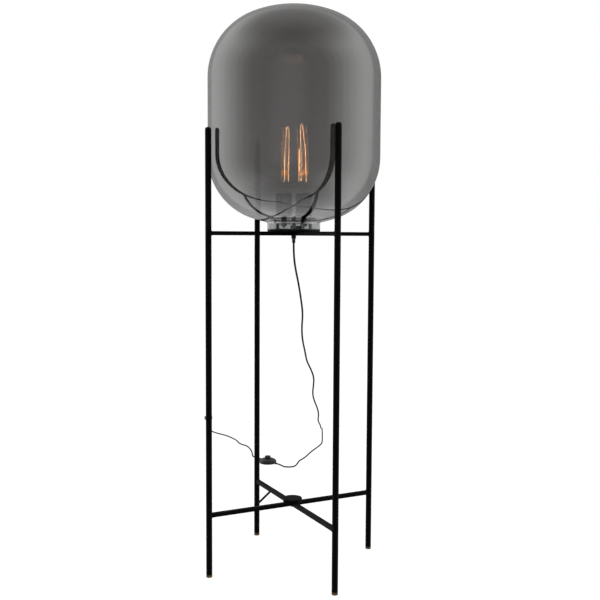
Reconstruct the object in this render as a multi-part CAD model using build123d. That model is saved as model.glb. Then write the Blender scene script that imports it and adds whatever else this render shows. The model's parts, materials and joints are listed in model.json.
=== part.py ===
from build123d import *
import os
from math import atan2, cos, degrees, hypot, pi, radians, sin, sqrt, tan

os.makedirs("parts", exist_ok=True)

# Globe floor lamp: a smoked glass globe stands neck down on a seat plate, on the upper cross of a
# four-legged frame. Two tubular bulbs stand inside it. The cord hangs from the centre of the cross,
# touches down behind the lamp, and runs over a foot switch to its plug.
# Millimetres, +Z up. The origin is on the floor, under the centre of the four legs.

# ---------------------------------------------------------------- driving dimensions
# frame
leg_gap = 5.835             # between the globe's side and each leg
leg_diameter = 15.0
leg_wall = 1.5
leg_tip_height = 1096.0     # top of the domed tips
leg_cap_dome = 5.0
leg_plug_length = 12.0      # of the cap's and the pad's stems in the tube
plug_clearance = 0.05
foot_pad_height = 6.5
foot_pad_round = 0.8
bar_size = 10.0             # square section of the cross bars
upper_cross_height = 844.5  # centre line
lower_cross_height = 154.5
upper_hub_diameter = 22.0
lower_disc_diameter = 48.8
lower_disc_thickness = 10.0
lower_disc_chamfer = 0.8
disc_screw_diameter = 6.0
disc_screw_depth = 7.0      # of the thread in the disc
disc_screw_head_diameter = 9.8
disc_screw_head_height = 3.3
screw_clearance = 0.2
strut_diameter = 6.0
strut_reach = 99.0          # from the leg's axis to where the strut meets the bar's axis
strut_drop = 68.0

# glass
globe_radius = 214.0
neck_height = 12.0          # from the lip to where the lower dome would close if it had no neck
low_dome_height = 167.0
side_height = 192.0         # of the straight stretch of the side
top_dome_height = 175.0
top_shoulder_radius = 165.5
low_shoulder_radius = 158.0
glass_thickness = 3.0
neck_radius = 66.0
neck_fillet = 5.0
lip_round = 0.8

# seat
seat_thickness = 3.0
gasket_thickness = 1.5
gasket_width = 5.0
spigot_clearance = 1.5      # between the seat's rim and the neck
spigot_thickness = 1.5
spigot_height = 4.0         # above the plate

# wiring hardware: M10 threaded tubes
nipple_diameter = 10.0
nipple_bore = 7.0
nipple_clearance = 0.2
nipple_above_bracket = 14.0
nipple_in_grip = 9.0
window_width = 4.4
window_low = 1.0            # above the nut on the seat
window_height = 7.5
nut_width = 14.0
nut_height = 4.0
bracket_strip = 20.0
bracket_thickness = 2.0
bracket_height = 17.5       # top face above the seat
bracket_span = 88.0
bracket_foot = 9.0
spacer_diameter = 14.0
spacer_height = 16.0
stub_below_bracket = 6.0
stub_in_holder = 6.0
terminal_size = (28.0, 18.0, 12.0)
terminal_offset = 23.0      # behind the nipple
lead_diameter = 2.4
core_pair_diameter = 3.2
lead_clearance = 4.0        # above the seat

# lampholders (E27) and bulbs
holder_spacing = 53.0
holder_diameter = 41.6
holder_height = 58.0
holder_cap_height = 28.0
holder_wall = 1.8
holder_floor = 2.5
holder_round = 4.0
skirt_wall = 3.0
skirt_round = 1.2
core_clearance = 0.3
core_below_rim = 6.0
core_floor = 14.0
core_recess_clearance = 0.3
shell_radius = 14.0
shell_thickness = 0.5
contact_radius = 4.5
contact_stem_radius = 1.4
contact_thickness = 0.6
bulb_gap = 0.2              # between the bulb's tip and the holder's contact
bulb_length = 225.0
bulb_diameter = 31.0
bulb_glass_thickness = 1.0
bulb_contact_height = 9.8   # of the holder's contact above the core's floor
cap_crest_radius = 13.1
cap_root_radius = 12.6
cap_thread_pitch = 3.629
cap_thread_turns = 5
cap_rim_height = 3.2
bulb_neck_radius = 12.2
bulb_tip_height = 4.0
bulb_tip_radius = 4.5
bulb_neck_in_cap = 9.0
bulb_neck_out = 2.0
bulb_shoulder_height = 10.0
bulb_shoulder_fillet = 5.0
stem_radius = 3.0
stem_flare_radius = 10.5
stem_height = 30.0
support_radius = 0.6
filament_low = 61.0         # above the bulb's tip
filament_high = 204.0
filament_low_radius = 10.0
filament_high_radius = 3.2
filament_strands = 10
filament_radius = 0.45
filament_bend = 0.6
filament_hook = 0.9         # half of the short run over each hook
spoke_radius = 0.35

# cord, grip and foot switch
cord_diameter = 5.0
grip_diameter = 12.0
grip_height = 8.0
grip_tail_diameter = 8.2
grip_tail_length = 10.5
switch_centre = (-406.0, 900.0)
switch_turn = 152.0         # direction of the cord through the switch, in degrees from +X
switch_radius = 32.0
switch_seam = 8.0
switch_top = 17.0
switch_top_radius = 14.0
switch_base_radius = 29.5
switch_wall = 2.0
switch_bulge = 2.6          # of the upper shell's arc above its chord
button_radius = 11.0
button_wall = 2.0
button_proud = 9.0          # above the upper shell
button_travel = 3.0
button_flange = 1.8
button_flange_height = 1.6
button_clearance = 0.35
button_round = 1.5
spring_radius = 5.2
spring_wire = 0.9
spring_turns = 7
button_stop_gap = 3.3       # left above the contact block when the button is down
contact_block_size = (24.0, 15.0)
switch_screw_offset = 24.0
switch_screw_diameter = 3.0
switch_screw_head = 5.6
switch_screw_head_height = 1.8
switch_boss_wall = 1.8
boot_root_radius = 4.1
boot_tip_radius = 3.4
boot_in_shell = 4.0
boot_length = 16.0
boot_clearance = 0.1
cord_bore_clearance = 0.05
cord_height_at_switch = 6.5

# plug: flat two-pin
plug_turn = 114.8           # direction of the pins, in degrees from +X
plug_width = 35.3
plug_rear_width = 17.0
plug_thickness = 13.7
plug_length = 36.0
plug_front_length = 11.0    # of the full-width part
plug_round = 2.5
plug_boot_length = 14.0
plug_boot_tip_radius = 3.3
plug_boot_root_radius = 5.0
plug_pin_radius = 2.0
plug_pin_length = 19.0
plug_pin_spacing = 18.6
plug_pin_seat = 7.0
plug_root_radius = 1.4      # of each pin's slimmer root in the body
plug_root_out = 0.6         # of the root in front of the body
plug_pin_round = 1.0

# ---------------------------------------------------------------- levels and places worked out
leg_radius = leg_diameter / 2
leg_offset = (globe_radius + leg_gap + leg_radius) / sqrt(2)
leg_bore = leg_radius - leg_wall
leg_tube_top = leg_tip_height - leg_cap_dome
corners = {
    "front_left": (-leg_offset, -leg_offset),
    "front_right": (leg_offset, -leg_offset),
    "back_right": (leg_offset, leg_offset),
    "back_left": (-leg_offset, leg_offset),
}

seat_bottom = upper_cross_height + bar_size / 2
seat_top = seat_bottom + seat_thickness
lip = seat_top + gasket_thickness
globe_pole_low = lip + neck_height
globe_wall_low = globe_pole_low + low_dome_height
globe_wall_high = globe_wall_low + side_height
globe_top = globe_wall_high + top_dome_height
bracket_top = seat_top + bracket_height
bracket_under = bracket_top - bracket_thickness
holder_bottom = bracket_top + spacer_height
holder_top = holder_bottom + holder_height
core_bottom = holder_bottom + holder_floor
core_top = holder_top - core_below_rim
core_cup = core_bottom + core_floor
holder_contact_top = core_cup + bulb_contact_height
bulb_tip = holder_contact_top + bulb_gap
bulb_top = bulb_tip + bulb_length
holder_places = {"left": -holder_spacing / 2, "right": holder_spacing / 2}

hub_bottom = upper_cross_height - bar_size / 2
grip_bottom = hub_bottom - grip_height - grip_tail_length
nipple_radius = nipple_diameter / 2
nipple_top = bracket_top + nipple_above_bracket
nipple_bottom = hub_bottom - nipple_in_grip


# ---------------------------------------------------------------- helpers
def save(shape, node):
    """Write one node; a list is a group of separate solids."""
    if isinstance(shape, (list, tuple)):
        shape = Compound(children=list(shape))
    shape.label = node
    export_step(shape, "parts/" + node + ".step")


def rod(radius, low, high, x=0.0, y=0.0):
    """Upright cylinder from one height to another."""
    return Pos(x, y, (low + high) / 2) * Cylinder(radius, high - low)


def tube(outer, inner, low, high, x=0.0, y=0.0):
    return rod(outer, low, high, x, y) - rod(inner, low - 1, high + 1, x, y)


def turned(edges, fillets=()):
    """Solid of revolution about Z from edges drawn as (radius, height)."""
    face = make_face(edges)
    for point, radius in fillets:
        corner = min(face.vertices(), key=lambda v: hypot(v.X - point[0], v.Y - point[1]))
        face = fillet(corner, radius)
    return revolve(Plane.XZ * face, axis=Axis.Z)


def turned_polygon(points, fillets=()):
    return turned(Polyline(*points, close=True), fillets)


def hexagon_nut(x, y, low):
    blank = extrude(Pos(x, y, low) * RegularPolygon(nut_width / 2, 6, major_radius=False), nut_height)
    return blank - rod(nipple_radius, low - 1, low + nut_height + 1, x, y)


def bar(start, end, height):
    """Square bar along the floor plan from start to end, centred on a height."""
    length = hypot(end[0] - start[0], end[1] - start[1])
    turn = degrees(atan2(end[1] - start[1], end[0] - start[0]))
    middle = Pos((start[0] + end[0]) / 2, (start[1] + end[1]) / 2, height)
    return middle * Rot(0, 0, turn) * Box(length, bar_size, bar_size)


def leg_core(place):
    """The space that a leg fills, for coping what is welded to it."""
    return rod(leg_radius, 0, leg_tip_height, *place)


def tube_path(points):
    """Straight runs joined by tangent arcs, each as large as its two runs allow."""
    vectors = [Vector(*point) for point in points]
    runs = [b - a for a, b in zip(vectors, vectors[1:])]
    radii = []
    for before, after in zip(runs, runs[1:]):
        half_turn = radians(before.get_angle(after)) / 2
        radii.append(0.45 * min(before.length, after.length) / tan(half_turn))
    return FilletPolyline(*points, radius=radii), radii, runs


def swept(points, diameter, name=None):
    """Round tube along a route; prints its radii and compares its volume with length times section."""
    path, radii, runs = tube_path(points)
    start = Plane(origin=Vector(*points[0]), z_dir=runs[0])
    solid = sweep(start * Circle(diameter / 2), path=path)
    if name:
        expected = path.length * pi * (diameter / 2) ** 2
        print(name, "length %.0f mm" % path.length, "volume / (section x length) %.5f" % (solid.volume / expected))
        print("  runs", " ".join("%.0f" % run.length for run in runs))
        print("  radii", " ".join("%.0f" % radius for radius in radii))
    return solid


# ---------------------------------------------------------------- frame
def leg(place):
    return tube(leg_radius, leg_bore, foot_pad_height, leg_tube_top, *place)


def leg_cap(place):
    """Domed end cap with a stem that plugs into the tube."""
    stem = leg_bore - plug_clearance
    low = leg_tube_top - leg_plug_length
    dome_radius = (leg_radius ** 2 + leg_cap_dome ** 2) / (2 * leg_cap_dome)
    rim_angle = degrees(atan2(dome_radius - leg_cap_dome, leg_radius))
    edges = [
        Line((0, low), (stem, low)),
        Line((stem, low), (stem, leg_tube_top)),
        Line((stem, leg_tube_top), (leg_radius, leg_tube_top)),
        CenterArc((0, leg_tip_height - dome_radius), dome_radius, rim_angle, 90 - rim_angle),
        Line((0, leg_tip_height), (0, low)),
    ]
    return Pos(place[0], place[1], 0) * turned(edges)


def foot_pad(place):
    """Brown pad under a leg, with a stem that plugs into the tube."""
    stem = leg_bore - plug_clearance
    top = foot_pad_height + leg_plug_length
    outline = [(0, 0), (leg_radius, 0), (leg_radius, foot_pad_height), (stem, foot_pad_height), (stem, top), (0, top)]
    return Pos(place[0], place[1], 0) * turned_polygon(outline, [((leg_radius, 0), foot_pad_round)])


def upper_arm(place):
    """Bar from the hub to a leg, coped to both."""
    hub = rod(upper_hub_diameter / 2, 0, globe_top)
    return bar((0, 0), place, upper_cross_height) - hub - leg_core(place)


def upper_hub():
    bore = nipple_radius + nipple_clearance
    return tube(upper_hub_diameter / 2, bore, hub_bottom, seat_bottom)


def lower_bar(start, end, notch_side):
    """Bar between two opposite legs, half lapped at the crossing: the notch is on one side."""
    whole = bar(corners[start], corners[end], lower_cross_height)
    whole = whole - leg_core(corners[start]) - leg_core(corners[end])
    turn = degrees(atan2(corners[end][1] - corners[start][1], corners[end][0] - corners[start][0]))
    notch_height = lower_cross_height + notch_side * bar_size / 4
    notch = Pos(0, 0, notch_height) * Rot(0, 0, turn) * Box(bar_size, bar_size, bar_size / 2)
    return whole - notch - rod(disc_screw_diameter / 2 + screw_clearance, 0, leg_tip_height)


def lower_disc():
    """Round cover disc on the lower crossing, tapped from below."""
    low = lower_cross_height + bar_size / 2
    blank = rod(lower_disc_diameter / 2, low, low + lower_disc_thickness)
    blank = chamfer(blank.edges().group_by(Axis.Z)[-1], lower_disc_chamfer)
    return blank - rod(disc_screw_diameter / 2, low - 1, low + disc_screw_depth)


def lower_disc_screw():
    under = lower_cross_height - bar_size / 2
    head = rod(disc_screw_head_diameter / 2, under - disc_screw_head_height, under)
    head = fillet(head.edges().group_by(Axis.Z)[0], 1.2)
    shank = rod(disc_screw_diameter / 2, under, lower_cross_height + bar_size / 2 + disc_screw_depth)
    return head + shank


def corner_strut(place):
    """Thin brace in one corner, from under the lower bar down to the leg."""
    inward = Vector(-place[0], -place[1], 0).normalized()
    foot = Vector(place[0], place[1], lower_cross_height - strut_drop)
    head = Vector(place[0], place[1], lower_cross_height) + inward * strut_reach
    line = head - foot
    blank = Plane(origin=foot + line * 0.5, z_dir=line) * Cylinder(strut_diameter / 2, line.length)
    over_bar = bar((0, 0), place, lower_cross_height) + bar((0, 0), place, lower_cross_height + bar_size)
    return blank - leg_core(place) - over_bar


# ---------------------------------------------------------------- glass
def dome(height, shoulder):
    """A dome of two tangent arcs: the crown's radius, and the angle where it takes over."""
    crown = (globe_radius ** 2 + height ** 2 - 2 * globe_radius * shoulder) / (2 * (height - shoulder))
    return crown, degrees(atan2(crown - height, globe_radius - shoulder))


def globe():
    """Blown shell of even thickness: neck, lower dome, straight side, upper dome."""
    top_crown, top_turn = dome(globe_top - globe_wall_high, top_shoulder_radius)
    low_crown, low_turn = dome(globe_wall_low - globe_pole_low, low_shoulder_radius)
    top_centre = (0, globe_top - top_crown)
    low_centre = (0, globe_pole_low + low_crown)
    top_shoulder = (globe_radius - top_shoulder_radius, globe_wall_high)
    low_shoulder = (globe_radius - low_shoulder_radius, globe_wall_low)

    def skin(inset):
        """One face of the shell, from the lip up to the top pole, and its corner at the neck."""
        neck = neck_radius - inset
        side = globe_radius - inset
        crown = low_crown - inset
        meet = low_centre[1] - sqrt(crown ** 2 - neck ** 2)
        meet_angle = degrees(atan2(meet - low_centre[1], neck))
        edges = [
            Line((neck, lip), (neck, meet)),
            CenterArc(low_centre, crown, meet_angle, -low_turn - meet_angle),
            CenterArc(low_shoulder, low_shoulder_radius - inset, -low_turn, low_turn),
            Line((side, globe_wall_low), (side, globe_wall_high)),
            CenterArc(top_shoulder, top_shoulder_radius - inset, 0, top_turn),
            CenterArc(top_centre, top_crown - inset, top_turn, 90 - top_turn),
        ]
        return edges, (neck, meet)

    outer, outer_corner = skin(0)
    inner, inner_corner = skin(glass_thickness)
    closing = [
        Line((neck_radius, lip), (neck_radius - glass_thickness, lip)),
        Line((0, globe_top), (0, globe_top - glass_thickness)),
    ]
    fillets = [
        (outer_corner, neck_fillet),
        (inner_corner, neck_fillet + glass_thickness),
        ((neck_radius, lip), lip_round),
        ((neck_radius - glass_thickness, lip), lip_round),
    ]
    return turned(outer + inner + closing, fillets)


def seat_plate():
    """Disc on the upper cross, with a low rim that centres the neck."""
    plate = tube(neck_radius, nipple_radius + nipple_clearance, seat_bottom, seat_top)
    rim = neck_radius - glass_thickness - spigot_clearance
    return plate + tube(rim, rim - spigot_thickness, seat_top, seat_top + spigot_height)


def neck_gasket():
    rim = neck_radius - glass_thickness - spigot_clearance
    inner = max(neck_radius - gasket_width, rim)
    return tube(neck_radius, inner, seat_top, lip)


# ---------------------------------------------------------------- wiring hardware
def centre_nipple():
    """Threaded tube through the hub, the seat and the bracket, with a window for the wires."""
    pipe = tube(nipple_radius, nipple_bore / 2, nipple_bottom, nipple_top)
    low = seat_top + nut_height + window_low
    window = Pos(0, nipple_radius, low + window_height / 2) * Box(window_width, nipple_diameter, window_height)
    return pipe - window


def lock_nuts():
    """On the seat, on the bracket, and under the bracket on each holder's stub."""
    nuts = [hexagon_nut(0, 0, seat_top), hexagon_nut(0, 0, bracket_top)]
    for x in holder_places.values():
        nuts.append(hexagon_nut(x, 0, bracket_under - nut_height))
    return nuts


def holder_bracket():
    """Bridge of bent strip that stands on the seat and carries both holders."""
    half = bracket_span / 2
    outline = [
        (-half - bracket_foot, seat_top),
        (-half + bracket_thickness, seat_top),
        (-half + bracket_thickness, bracket_under),
        (half - bracket_thickness, bracket_under),
        (half - bracket_thickness, seat_top),
        (half + bracket_foot, seat_top),
        (half + bracket_foot, seat_top + bracket_thickness),
        (half, seat_top + bracket_thickness),
        (half, bracket_top),
        (-half, bracket_top),
        (-half, seat_top + bracket_thickness),
        (-half - bracket_foot, seat_top + bracket_thickness),
    ]
    face = Plane.XZ * make_face(Polyline(*outline, close=True))
    strip = extrude(face, bracket_strip / 2, both=True)
    for x in (0, *holder_places.values()):
        strip -= rod(nipple_radius + nipple_clearance, bracket_under - 1, bracket_top + 1, x)
    return strip


def holder_spacer(x):
    return tube(spacer_diameter / 2, nipple_radius + nipple_clearance, bracket_top, holder_bottom, x)


def holder_stub(x):
    low = bracket_under - stub_below_bracket
    return tube(nipple_radius, nipple_bore / 2, low, holder_bottom + stub_in_holder, x)


def terminal_block():
    """Insulating block with a screw hole over each wire."""
    length, depth, height = terminal_size
    block = Pos(0, terminal_offset, seat_top + height / 2) * Box(length, depth, height)
    block = fillet(block.edges().filter_by(Axis.Z), 1.5)
    for x in (-length / 4, length / 4):
        block -= rod(2.0, seat_top + height - 5, seat_top + height + 1, x, terminal_offset)
    return block


def supply_lead():
    """The cord's own end: its sheath in the nipple, and its cores out of the window to the block."""
    level = seat_top + nut_height + window_low + window_height / 2
    sheath = rod(cord_diameter / 2, grip_bottom, seat_top)
    face = terminal_offset - terminal_size[1] / 2
    cores = swept([(0, 0, seat_top - 6), (0, 0, level), (0, face, level)], core_pair_diameter)
    return sheath + cores


def holder_lead(x):
    """Twin wire from the block to a holder's stub."""
    side = 1 if x > 0 else -1
    level = seat_top + lead_clearance
    start = side * terminal_size[0] / 2
    route = [
        (start, terminal_offset, level),
        (start + side * 8, terminal_offset, level),
        (x, terminal_offset * 0.55, level),
        (x, 0, level),
        (x, 0, holder_bottom),
    ]
    path = FilletPolyline(*route, radius=[4.0, 4.0, 3.5])
    return sweep(Plane(origin=route[0], z_dir=(side, 0, 0)) * Circle(lead_diameter / 2), path=path)


# ---------------------------------------------------------------- lampholders
def holder_cap(x):
    """Lower shell of a holder."""
    radius = holder_diameter / 2
    top = holder_bottom + holder_cap_height
    outline = [
        (nipple_radius, holder_bottom),
        (radius, holder_bottom),
        (radius, top),
        (radius - holder_wall, top),
        (radius - holder_wall, core_bottom),
        (nipple_radius, core_bottom),
    ]
    return Pos(x, 0, 0) * turned_polygon(outline, [((radius, holder_bottom), holder_round)])


def holder_skirt(x):
    """Upper shell, round the bulb's cap."""
    radius = holder_diameter / 2
    low = holder_bottom + holder_cap_height
    outline = [(radius - skirt_wall, low), (radius, low), (radius, holder_top), (radius - skirt_wall, holder_top)]
    rounds = [((radius, holder_top), skirt_round), ((radius - skirt_wall, holder_top), skirt_round)]
    return Pos(x, 0, 0) * turned_polygon(outline, rounds)


def holder_core(x):
    """Porcelain insert: a cup for the threaded shell, and a recess over the stub."""
    radius = holder_diameter / 2 - skirt_wall - core_clearance
    recess = nipple_radius + core_recess_clearance
    recess_top = holder_bottom + stub_in_holder + 1
    outline = [
        (recess, core_bottom),
        (radius, core_bottom),
        (radius, core_top),
        (shell_radius, core_top),
        (shell_radius, core_cup),
        (0, core_cup),
        (0, recess_top),
        (recess, recess_top),
    ]
    return Pos(x, 0, 0) * turned_polygon(outline)


def holder_thread(x):
    return tube(shell_radius, shell_radius - shell_thickness, core_cup, core_top, x)


def holder_contact(x):
    """Centre contact: a sprung disc on a stem."""
    under = holder_contact_top - contact_thickness
    outline = [
        (0, core_cup),
        (contact_stem_radius, core_cup),
        (contact_stem_radius, under),
        (contact_radius, under),
        (contact_radius, holder_contact_top),
        (0, holder_contact_top),
    ]
    return Pos(x, 0, 0) * turned_polygon(outline)


# ---------------------------------------------------------------- bulbs
cap_low = bulb_tip + bulb_tip_height
cap_high = cap_low + cap_thread_turns * cap_thread_pitch + cap_rim_height


def bulb_cap(x):
    """Screw cap with one rounded ridge for each turn of its thread."""
    edges = [Line((bulb_neck_radius, cap_high), (bulb_neck_radius, cap_low))]
    edges.append(Line((bulb_neck_radius, cap_low), (cap_root_radius, cap_low)))
    for turn in range(cap_thread_turns):
        low = cap_low + turn * cap_thread_pitch
        crest = (cap_crest_radius, low + cap_thread_pitch / 2)
        edges.append(ThreePointArc((cap_root_radius, low), crest, (cap_root_radius, low + cap_thread_pitch)))
    thread_end = cap_low + cap_thread_turns * cap_thread_pitch
    edges.append(Line((cap_root_radius, thread_end), (cap_root_radius, cap_high)))
    edges.append(Line((cap_root_radius, cap_high), (bulb_neck_radius, cap_high)))
    return Pos(x, 0, 0) * turned(edges)


def bulb_contact(x):
    """Insulator cone in the cap's mouth, with the contact tip."""
    mid = bulb_tip + bulb_tip_height * 0.45
    outline = [
        (0, bulb_tip),
        (bulb_tip_radius * 0.8, bulb_tip),
        (bulb_tip_radius, bulb_tip + 0.6),
        (bulb_tip_radius, mid),
        (bulb_tip_radius + 1.5, mid),
        (bulb_neck_radius - 0.2, cap_low),
        (bulb_neck_radius - 0.2, cap_low + 1.5),
        (0, cap_low + 1.5),
    ]
    return Pos(x, 0, 0) * turned_polygon(outline)


def bulb_glass(x):
    """Clear tube with a domed end, open at the neck where the cap holds it."""
    radius = bulb_diameter / 2
    neck_low = cap_high - bulb_neck_in_cap
    neck_high = cap_high + bulb_neck_out
    shoulder = neck_high + bulb_shoulder_height
    dome_low = bulb_top - radius
    wall = bulb_glass_thickness
    turn = sin(pi / 4)

    def skin(inset):
        return [
            Line((bulb_neck_radius - inset, neck_low), (bulb_neck_radius - inset, neck_high)),
            Line((bulb_neck_radius - inset, neck_high), (radius - inset, shoulder)),
            Line((radius - inset, shoulder), (radius - inset, dome_low)),
            ThreePointArc(
                (radius - inset, dome_low),
                ((radius - inset) * turn, dome_low + (radius - inset) * turn),
                (0, bulb_top - inset),
            ),
        ]

    closing = [
        Line((bulb_neck_radius, neck_low), (bulb_neck_radius - wall, neck_low)),
        Line((0, bulb_top), (0, bulb_top - wall)),
    ]
    fillets = []
    for inset in (0, wall):
        fillets.append(((bulb_neck_radius - inset, neck_high), bulb_shoulder_fillet))
        fillets.append(((radius - inset, shoulder), bulb_shoulder_fillet))
    return Pos(x, 0, 0) * turned(skin(0) + skin(wall) + closing, fillets)


stem_low = cap_high - bulb_neck_in_cap
stem_top = stem_low + stem_height


def filament_point(strand):
    """Corners of the cage: low ones and high ones in turn round the bulb's axis."""
    angle = strand * 2 * pi / filament_strands
    high = strand % 2 == 1
    radius = filament_high_radius if high else filament_low_radius
    height = bulb_tip + (filament_high if high else filament_low)
    return Vector(radius * cos(angle), radius * sin(angle), height)


def wire(start, end, radius):
    line = end - start
    return Plane(origin=start + line * 0.5, z_dir=line) * Cylinder(radius, line.length)


def bulb_stem(x):
    """Flared glass stem, and the wire mast with a spoke to each corner of the cage."""
    outline = [
        (0, stem_low),
        (stem_flare_radius, stem_low),
        (stem_flare_radius - 2, stem_low + 4),
        (stem_radius + 0.5, stem_low + 14),
        (stem_radius, stem_top),
        (0, stem_top),
    ]
    glass = turned_polygon(outline)
    mast_top = bulb_tip + filament_high
    mast = rod(support_radius, stem_top, mast_top + support_radius)
    for strand in range(filament_strands):
        corner = filament_point(strand)
        hub = Vector(0, 0, corner.Z)
        reach = (corner - hub).normalized() * (filament_radius + 0.02)
        mast += wire(hub, corner - reach, spoke_radius)
    return [Pos(x, 0, 0) * glass, Pos(x, 0, 0) * mast]


def bulb_filament(x):
    """One wire that runs up and down between the low and the high corners, with a bend over each hook."""
    points = []
    for strand in range(filament_strands):
        corner = filament_point(strand)
        along = Vector(-corner.Y, corner.X, 0).normalized() * filament_hook
        points += [corner - along, corner + along]
    points[0] = filament_point(0)
    points[-1] = filament_point(filament_strands - 1)
    path = FilletPolyline(*points, radius=filament_bend)
    start = Plane(origin=points[0], z_dir=points[1] - points[0])
    return Pos(x, 0, 0) * sweep(start * Circle(filament_radius), path=path)


# ---------------------------------------------------------------- cord grip
def cord_grip():
    """Screwed on the nipple under the hub, with a tail round the cord."""
    wide = grip_diameter / 2
    tail = grip_tail_diameter / 2
    step = hub_bottom - grip_height
    bore = cord_diameter / 2 + cord_bore_clearance
    outline = [
        (bore, grip_bottom),
        (tail, grip_bottom),
        (tail, step),
        (wide, step + 1.5),
        (wide, hub_bottom),
        (nipple_radius, hub_bottom),
        (nipple_radius, nipple_bottom),
        (bore, nipple_bottom),
    ]
    return turned_polygon(outline, [((tail, grip_bottom), 0.8)])


# ---------------------------------------------------------------- foot switch
switch_axis = Vector(cos(radians(switch_turn)), sin(radians(switch_turn)), 0)
switch_place = Pos(*switch_centre, 0) * Rot(0, 0, switch_turn)
boot_reach = switch_radius + boot_length
button_top = switch_top + button_proud
flange_top = switch_top - switch_wall - 0.1
contact_block_top = flange_top - button_flange_height - button_travel - button_stop_gap


def upper_profile(inset):
    """The lens-shaped top, from the seam up to the ring round the button."""
    start = (switch_radius - inset, switch_seam)
    end = (switch_top_radius - inset * 0.4, switch_top - inset)
    middle = ((start[0] + end[0]) / 2, (start[1] + end[1]) / 2)
    length = hypot(end[0] - start[0], end[1] - start[1])
    rise = switch_bulge * (1 - inset / (2 * switch_radius))
    outward = ((end[1] - start[1]) / length, -(end[0] - start[0]) / length)
    return ThreePointArc(start, (middle[0] + outward[0] * rise, middle[1] + outward[1] * rise), end)


def boot(side, grow=0.0):
    """Tapered sleeve round the cord where it leaves the switch, in the switch's own frame."""
    root = switch_radius - boot_in_shell
    tip = switch_radius + boot_length
    outline = [(0, root - grow), (boot_root_radius + grow, root - grow), (boot_tip_radius + grow, tip), (0, tip)]
    cone = turned_polygon(outline)
    if grow == 0:
        cone -= rod(cord_diameter / 2 + cord_bore_clearance, root - 1, tip + 1)
    return Pos(0, 0, cord_height_at_switch) * Rot(0, side * 90, 0) * cone


def boot_spaces():
    return boot(1, boot_clearance) + boot(-1, boot_clearance)


def cord_end(side):
    """The cord's end inside the switch, from the contact block out to the boot's tip."""
    reach = boot_reach - contact_block_size[0] / 2
    middle = contact_block_size[0] / 2 + reach / 2
    return Pos(side * middle, 0, cord_height_at_switch) * Rot(0, 90, 0) * Cylinder(cord_diameter / 2, reach)


def cord_space():
    """Way for the cord from each boot to the contact block."""
    radius = cord_diameter / 2 + cord_bore_clearance
    return Pos(0, 0, cord_height_at_switch) * Rot(0, 90, 0) * Cylinder(radius, 2 * switch_radius)


def screw_places():
    return [(0, switch_screw_offset), (0, -switch_screw_offset)]


def switch_lower_shell():
    inner = switch_radius - switch_wall
    outline = [
        (0, 0),
        (switch_base_radius, 0),
        (switch_radius, switch_seam * 0.45),
        (switch_radius, switch_seam),
        (inner, switch_seam),
        (inner, switch_seam * 0.45),
        (switch_base_radius - switch_wall, switch_wall),
        (0, switch_wall),
    ]
    shell = turned_polygon(outline, [((switch_radius, switch_seam * 0.45), 3.0)])
    for x, y in screw_places():
        shell += rod(switch_screw_diameter / 2 + switch_boss_wall, switch_wall / 2, switch_seam, x, y)
    for x, y in screw_places():
        shell -= rod(switch_screw_diameter / 2 + screw_clearance, -1, switch_seam + 1, x, y)
        shell -= rod(switch_screw_head / 2 + screw_clearance, -1, switch_screw_head_height + 0.2, x, y)
    return switch_place * (shell - boot_spaces() - cord_space())


def switch_upper_shell():
    hole = button_radius + button_clearance
    outer = upper_profile(0)
    inner = upper_profile(switch_wall)
    edges = [
        outer,
        Line(outer @ 1, (hole, switch_top)),
        Line((hole, switch_top), (hole, switch_top - switch_wall)),
        Line((hole, switch_top - switch_wall), inner @ 1),
        inner,
        Line(inner @ 0, outer @ 0),
    ]
    shell = turned(edges)
    lid = turned([outer, Line(outer @ 1, (0, switch_top)), Line((0, switch_top), (0, switch_seam)),
                  Line((0, switch_seam), outer @ 0)])
    for x, y in screw_places():
        boss = rod(switch_screw_diameter / 2 + switch_boss_wall, switch_seam, switch_top, x, y) & lid
        depth = switch_seam + 4.0
        shell += boss - rod(switch_screw_diameter / 2, switch_seam - 1, depth, x, y)
    return switch_place * (shell - boot_spaces() - cord_space())


def switch_button():
    """Cup-shaped button with a flange that stops it under the shell."""
    outer = button_radius
    low = flange_top - button_flange_height
    outline = [
        (outer - button_wall, low),
        (outer + button_flange, low),
        (outer + button_flange, flange_top),
        (outer, flange_top),
        (outer, button_top),
        (0, button_top),
        (0, button_top - button_wall),
        (outer - button_wall, button_top - button_wall),
    ]
    return switch_place * turned_polygon(outline, [((outer, button_top), button_round)])


spring_low = contact_block_top
spring_high = button_top - button_wall


def switch_spring():
    """Return spring of the button, in half turns of a round wire that climb at a steady rate."""
    low = spring_low + spring_wire / 2
    pitch = (spring_high - spring_low - spring_wire) / spring_turns
    coil = Helix(pitch, pitch * spring_turns, spring_radius, center=(0, 0, low))
    start = Plane(origin=coil @ 0, z_dir=coil % 0)
    wound = sweep(start * Circle(spring_wire / 2), path=coil, is_frenet=True)
    return switch_place * wound


def switch_contact_block():
    length, width = contact_block_size
    height = contact_block_top - switch_wall
    block = Pos(0, 0, switch_wall + height / 2) * Box(length, width, height)
    return switch_place * chamfer(block.edges().filter_by(Axis.Z), 1.5)


def switch_screw(x, y):
    head = rod(switch_screw_head / 2, 0.2, switch_screw_head_height + 0.2, x, y)
    return switch_place * (head + rod(switch_screw_diameter / 2, switch_screw_head_height, switch_seam + 3.5, x, y))


# ---------------------------------------------------------------- cord
def beside_switch(distance):
    """A point on the switch's cord axis, ahead of its centre by a distance."""
    return (
        switch_centre[0] + switch_axis.X * distance,
        switch_centre[1] + switch_axis.Y * distance,
        cord_height_at_switch,
    )


floor_line = cord_diameter / 2      # height of the cord's centre where it lies
cord_approach = boot_reach + 20

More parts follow.
